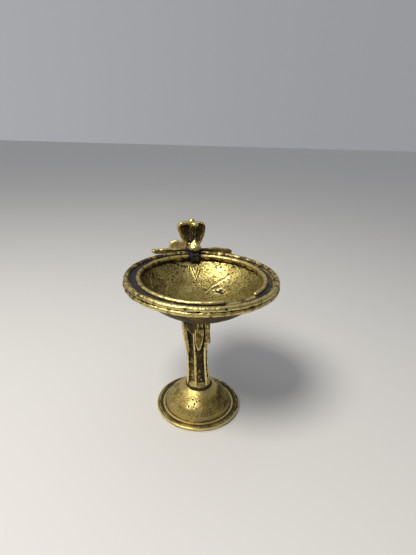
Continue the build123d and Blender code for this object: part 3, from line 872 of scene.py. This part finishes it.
# the place of a painted highlight of the key light on the inner wall
KEY_HIGHLIGHT = ((15.0, 26.0), (15.0, 9.0), math.radians(-35))
STAINS = (((-22.5, 15.0), (6.5, 7.5), 0.2), ((-16.5, 8.5), (5.5, 4.0), -0.5),
          ((-29.0, 9.0), (4.0, 8.0), 0.3))
CREASE = ((5.2, 16.4), (9.4, 19.4), (15.8, 20.9), (19.6, 21.0))
CRACK = ((-14.0, 31.0), (-10.9, 31.4), (-7.8, 31.0), (-3.9, 31.4))
STAIN_EDGES = (((-23.7, 19.4), (-19.2, 21.2), (-17.1, 19.7), (-17.3, 16.2), (-19.1, 10.3), (-13.4, 9.0)),
               ((-26.6, 18.9), (-27.2, 13.3), (-25.5, 10.1)))


def wobble_of(flat):
    """A small, slow shift of places in millimetres, so that no mark has a drawn edge."""
    slow = 0.5 * np.sin(flat[:, 0] * 1.3 + 2) * np.sin(flat[:, 1] * 1.1)
    quick = 0.25 * np.sin(flat[:, 0] * 3.1 + flat[:, 1] * 2.7)
    return (slow + quick)[:, None] * 0.8


def bowl_marks(mesh):
    """The oval sink, the crease, the crack and the stains inside the bowl, a painted highlight on the inner
    wall at the back right and painted shade over the whole outside.
    """
    points = points_of(mesh)
    middle = np.array((0, 0, BOWL_MIDDLE))
    inside = np.linalg.norm(points - middle, axis=1) < BOWL_RADIUS - WALL / 2
    flat = points / MM
    moved = flat + wobble_of(flat)
    sink = in_oval(moved, *SINK)
    pit = 1 - soft_step(sink, 0.55, 1.0)
    lip = np.exp(-((sink - 1.15) / 0.22) ** 2)
    crease = np.exp(-(to_line(moved, CREASE) / 0.55) ** 2)
    crack = np.exp(-(to_line(moved, CRACK) / 0.28) ** 2)
    brim = sum(np.exp(-(to_line(moved, line) / 0.42) ** 2) for line in STAIN_EDGES)
    stain_and_painted_light = np.zeros(len(points))
    for oval in STAINS:
        stain_and_painted_light = np.maximum(stain_and_painted_light, 1 - soft_step(in_oval(moved, *oval), 0.55, 1.2))
    height = (0.20 * lip + 0.22 * crease + 0.15 * brim - 0.5 * pit - 0.3 * crack) * inside
    inward = middle - points
    inward = inward / np.linalg.norm(inward, axis=1)[:, None]
    set_points(mesh, points + inward * (height * MM)[:, None])
    left = soft_step(-flat[:, 0], 2, 26)
    # painted highlight: lighter in this oval, where the key light shines on the inner wall
    rubbed = np.exp(-(in_oval(flat, *KEY_HIGHLIGHT) ** 2))
    age_and_painted_light = 0.20 * stain_and_painted_light + 0.15 * pit + 0.45 * crack + 0.04 * left + 0.14 * brim - 0.06 * rubbed
    # painted shade: the whole outside of the shell, its underside, gets one darker value
    mark(mesh, "stain_and_painted_light", np.where(inside, age_and_painted_light, 0.34))
    mark(mesh, "smooth", np.where(inside, 0.0, 1.0))


# ---------------------------------------------------------------- rim

def rim_age(form):
    """Darker at the sides and the back, rubbed bright at the front."""
    return 0.34 + 0.22 * towards(form, 165, 8) - 0.44 * towards(form, -100, 6)


def make_rim_threads():
    """The two outer threads, and the C-shaped inner one that is open at the front right."""
    radius, height, wire = ring_sizes("rim_lip")
    form = wire_form(ring_points(radius, height), closed=True, radius=wire, waver=0.22 * MM, swell=0.16,
                     swell_size=3.2 * MM, steps_around=28)
    mark(form, "stain_and_painted_light", rim_age(form))
    finish_piece("rim_lip", form, lumps=0.24 * MM, lump_size=2.4 * MM, grain=0.12 * MM, crinkle=0.12 * MM,
                 pit_depth=0.5 * MM, pit_spacing=3.0 * MM, pit_share=0.2)

    radius, height, wire = ring_sizes("rim_band")
    form = wire_form(ring_points(radius, height), closed=True, radius=wire, waver=0.2 * MM, swell=0.16,
                     swell_size=4 * MM, steps_around=24, seed=31 * MM)
    mark(form, "stain_and_painted_light", rim_age(form) + 0.05)
    finish_piece("rim_band", form, lumps=0.24 * MM, lump_size=2.4 * MM, grain=0.12 * MM,
                 pit_depth=0.4 * MM, pit_spacing=2.6 * MM, pit_share=0.18)

    radius, height, wire = ring_sizes("inner_ring")
    line = ring_points(radius, height, start=-50.0, sweep=330.0)
    form = wire_form(line, radius=wire, waver=0.25 * MM, swell=0.15, swell_size=4 * MM, round_ends=1.0,
                     steps_around=24, seed=17 * MM)
    # lighter at the back right: a painted highlight where the key light shines on the ring
    mark(form, "stain_and_painted_light", rim_age(form) * 0.8 - 0.10 - 0.25 * towards(form, 55, 6))
    finish_piece("inner_ring", form, lumps=0.2 * MM, lump_size=3 * MM, grain=0.08 * MM,
                 pit_depth=0.35 * MM, pit_spacing=3.5 * MM, pit_share=0.12)


CHANNEL_INNER = 32.9 * MM


def make_rim_channel():
    """The flat floor between the inner thread and the lip, darkest at the left."""
    low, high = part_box("rim_channel")
    inner, outer = CHANNEL_INNER, high.x
    floor = high.z + 0.05 * MM
    step = floor + 0.4 * MM
    profile = [(inner, low.z), (outer, low.z), (outer, floor + 0.8 * MM),
               (outer - 1.3 * MM, floor + 0.6 * MM), (outer - 2.3 * MM, floor),
               (inner + 2.6 * MM, floor), (inner + 1.8 * MM, step), (inner, step), (inner, low.z)]
    form = turned_form(profile, 0.4 * MM, 520)
    mark(form, "stain_and_painted_light", 0.45 + 0.22 * np.cos(bearing_of(points_of(form)) - math.radians(150)))
    finish_piece("rim_channel", form, lumps=0.2 * MM, lump_size=3 * MM, grain=0.16 * MM, grain_size=1.2 * MM,
                 pit_depth=0.3 * MM, pit_spacing=2.2 * MM, pit_share=0.25)


def make_tongue():
    """The lumpy black bar that crosses the rim into the bowl."""
    form = softened(("tongue",), 0.2 * MM, 24)
    points = points_of(form)
    middle = (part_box("tongue")[0].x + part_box("tongue")[1].x) / 2
    points[:, 0] = middle + (points[:, 0] - middle) * 0.7
    set_points(form, points)
    finish_piece("tongue", form, stain_and_painted_light=0.9, lumps=1.0 * MM, lump_size=2.0 * MM, grain=0.12 * MM,
                 pit_share=0.3)


# ---------------------------------------------------------------- hood, bud, arms, tail

def make_bud():
    """The pointed bud, with fine grooves that wind up it and a dark base."""
    form = softened(("bud",), 0.13 * MM, 1)
    points, normals = points_of(form), normals_of(form)
    low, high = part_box("bud")
    middle = (low + high) / 2
    angle = np.arctan2(points[:, 1] - middle.y, points[:, 0] - middle.x)
    rise = (points[:, 2] - low.z) / (high.z - low.z)
    grooves = np.sin(9 * angle + 22 * rise) * np.sin(math.pi * np.clip(rise, 0, 1)) ** 0.7
    points = points + normals * (grooves * 0.09 * MM)[:, None]
    fuller = 1 + 0.28 * np.sin(math.pi * np.clip((rise - 0.4) / 0.6, 0, 1))
    points[:, 0] = middle.x + (points[:, 0] - middle.x) * fuller
    set_points(form, points)
    mark(form, "stain_and_painted_light", 0.75 * (1 - soft_step(rise, 0.0, 0.22)))
    finish_piece("bud", form, lumps=0.07 * MM, lump_size=2 * MM, grain=0.04 * MM, pit_share=0.04)


def stretched(points, centre, factors):
    """Points scaled about a centre."""
    return centre + (points - centre) * np.array(factors)


def hood_shape(node, points, normals):
    """The worked-over points of one part of the hood, and how stained they are, with painted shade on the
    shell's forward faces and painted highlights on the rim's upper left.
    """
    low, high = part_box("hood_shell")
    middle = np.array((low + high) / 2)
    own_low, own_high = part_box(node)
    own = np.array((own_low + own_high) / 2)
    stain_and_painted_light = np.zeros(len(points))
    if node == "hood_throat":
        return stretched(points, own, (2.0, 0.85, 1.0)), stain_and_painted_light + 0.62
    if node == "cobra_head":
        return stretched(points, own, (1.7, 1.0, 1.15)), stain_and_painted_light - 0.35
    if node == "crest_knob":
        return stretched(points, (own[0], own[1], own_low.z), (1.3, 1.1, 0.95)), stain_and_painted_light + 0.1
    if node == "hood_shell":
        # painted shade on the faces that do not look back, the inside of the hood
        return points, stain_and_painted_light + 0.34 * (normals[:, 1] < 0.2) + 0.1
    if node == "hood_rim":
        # painted highlight: the rim is made brighter at its upper left, and a little along its left, where
        # the key light falls
        to_left = soft_step(middle[0] - points[:, 0], -2 * MM, 3 * MM)
        upper = soft_step(points[:, 2], middle[2] - 1 * MM, middle[2] + 4 * MM)
        fatter = points + normals * (0.3 * MM * to_left * upper)[:, None]
        return fatter, stain_and_painted_light + 0.34 - 1.7 * to_left * upper - 0.15 * to_left
    return points, stain_and_painted_light + 0.4


def make_hood():
    for node in ("hood_neck", "hood_shell", "hood_rim", "hood_throat", "cobra_head", "crest_knob"):
        form = softened((node,), 0.17 * MM, 4)
        points, stain_and_painted_light = hood_shape(node, points_of(form), normals_of(form))
        set_points(form, points)
        mark(form, "stain_and_painted_light", stain_and_painted_light)
        finish_piece(node, form, lumps=0.2 * MM, lump_size=1.8 * MM, grain=0.07 * MM, pit_depth=0.2 * MM,
                     pit_share=0.12)


def make_arms():
    """The side arms, swollen halfway out; the right one droops at its end."""
    whole_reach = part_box("arm_right")[1].x
    for node in ("arm_left", "arm_right", "arm_left_knob"):
        form = softened((node,), 0.22 * MM, 12)
        points = points_of(form)
        reach = np.abs(points[:, 0]) / whole_reach
        droop = 0.9 * MM * soft_step(reach, 0.72, 1.0) + 0.5 * MM * soft_step(reach, 0.9, 1.0)
        points[:, 2] -= droop * (points[:, 0] > 0)
        points[:, 2] += 0.45 * MM * np.exp(-((reach - 0.55) / 0.14) ** 2)
        set_points(form, points)
        mark(form, "stain_and_painted_light", 0.5 * (1 - soft_step(reach, 0.2, 0.5)) - 0.1)
        finish_piece(node, form, lumps=0.26 * MM, lump_size=2.6 * MM, grain=0.08 * MM, pit_share=0.14)


def make_tail():
    """The tail and the leaf at its end, whose outline is blunt and uneven."""
    for node in ("tail", "tail_leaf"):
        form = softened((node,), 0.25 * MM, 8)
        points = points_of(form)
        low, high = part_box(node)
        middle = (low + high) / 2
        if node == "tail_leaf":
            bearing = np.arctan2(points[:, 2] - middle.z, points[:, 0] - middle.x)
            swell = 1 + 0.035 * np.cos(4 * bearing + math.pi) + 0.03 * np.cos(3 * bearing)
            points[:, 0] = middle.x + (points[:, 0] - middle.x) * swell
            points[:, 2] = middle.z + (points[:, 2] - middle.z) * swell
            set_points(form, points)
        finish_piece(node, form, lumps=0.5 * MM, lump_size=3.5 * MM, grain=0.08 * MM, pit_share=0.1)


make_foot_wires()
make_foot_plate()
make_foot_dome()
make_foot_collar()
make_stem()
make_leaves()
make_bowl()
make_chevrons()
make_rim_threads()
make_rim_channel()
make_tongue()
make_bud()
make_hood()
make_arms()
make_tail()
bpy.data.objects.remove(surroundings)


# ---------------------------------------------------------------- camera, light and floor

def camera_at(place, turn, down, roll, lens):
    """A camera turned to the right of +Y, tipped down and rolled, in radians, with its lens in mm."""
    data = bpy.data.cameras.new("camera")
    data.lens = lens
    data.sensor_width = 36.0
    data.clip_start = 0.01
    camera = bpy.data.objects.new("camera", data)
    bpy.context.collection.objects.link(camera)
    camera.rotation_mode = "QUATERNION"
    camera.location = place
    ahead = Vector((math.sin(turn) * math.cos(down), math.cos(turn) * math.cos(down), -math.sin(down)))
    level = ahead.to_track_quat("-Z", "Y")
    camera.rotation_quaternion = level @ Matrix.Rotation(roll, 4, "Z").to_quaternion()
    bpy.context.scene.camera = camera


def soft_light(name, place, target, size, power, colour):
    """A round soft light aimed at a point."""
    data = bpy.data.lights.new(name, "AREA")
    data.shape = "DISK"
    data.size = size
    data.energy = power
    data.color = colour
    lamp = bpy.data.objects.new(name, data)
    bpy.context.collection.objects.link(lamp)
    lamp.location = place
    lamp.rotation_mode = "QUATERNION"
    lamp.rotation_quaternion = (Vector(target) - Vector(place)).to_track_quat("-Z", "Y")


COOL_WHITE = (0.93, 0.95, 1.0, 1)
FRONT_GLOW = 0.085
BACK_GLOW = 0.25
LEFT_GLOW = 0.12
TOP_GLOW = 0.16


def room_light():
    """A plain grey room that is lighter behind, to the left of and above the lamp than in front of it."""
    world = bpy.data.worlds.new("studio")
    world.use_nodes = True
    tree = world.node_tree
    aim = put(tree, "ShaderNodeTexCoord", out="Generated")
    split = put(tree, "ShaderNodeSeparateXYZ", (aim,))
    back = fade(tree, split.node.outputs["Y"], -0.55, 0.45)
    left = fade(tree, calc(tree, "MULTIPLY", split, -1.0), -0.7, 0.9)
    up = fade(tree, split.node.outputs["Z"], 0.25, 1.0)
    light = calc(tree, "MULTIPLY_ADD", back, BACK_GLOW, FRONT_GLOW)
    light = calc(tree, "MULTIPLY_ADD", left, LEFT_GLOW, light)
    light = calc(tree, "MULTIPLY_ADD", up, TOP_GLOW, light)
    shade = tree.nodes["Background"]
    shade.inputs["Color"].default_value = COOL_WHITE
    tree.links.new(light, shade.inputs["Strength"])
    bpy.context.scene.world = world


def pale_floor():
    """A plain pale floor, far wider than the lamp."""
    mesh = bpy.data.meshes.new("floor")
    half = 3.0
    corners = [(-half, -half, 0), (half, -half, 0), (half, half, 0), (-half, half, 0)]
    mesh.from_pydata(corners, [], [(0, 1, 2, 3)])
    floor = bpy.data.objects.new("floor", mesh)
    bpy.context.collection.objects.link(floor)
    paint = bpy.data.materials.new("floor_paint")
    paint.use_nodes = True
    shader = paint.node_tree.nodes["Principled BSDF"]
    shader.inputs["Base Color"].default_value = (0.72, 0.71, 0.69, 1)
    shader.inputs["Roughness"].default_value = 0.6
    mesh.materials.append(paint)


CAMERA_PLACE = Vector((-29.66, -188.79, 158.28)) * MM
CAMERA_TURN = math.radians(9.9)
CAMERA_DOWN = math.radians(21.66)
CAMERA_ROLL = math.radians(2.1)
LENS_MM = 24.97
LIGHT_PLACE = (-0.27, -0.17, 0.58)
LIGHT_TARGET = (0, 0, 0.05)
LIGHT_SIZE = 0.26
LIGHT_WATTS = 3.5
WARM_WHITE = (1.0, 0.96, 0.88)

camera_at(CAMERA_PLACE, CAMERA_TURN, CAMERA_DOWN, CAMERA_ROLL, LENS_MM)
bpy.context.scene.view_settings.view_transform = "Standard"
soft_light("key", LIGHT_PLACE, LIGHT_TARGET, LIGHT_SIZE, LIGHT_WATTS, WARM_WHITE)
room_light()
pale_floor()
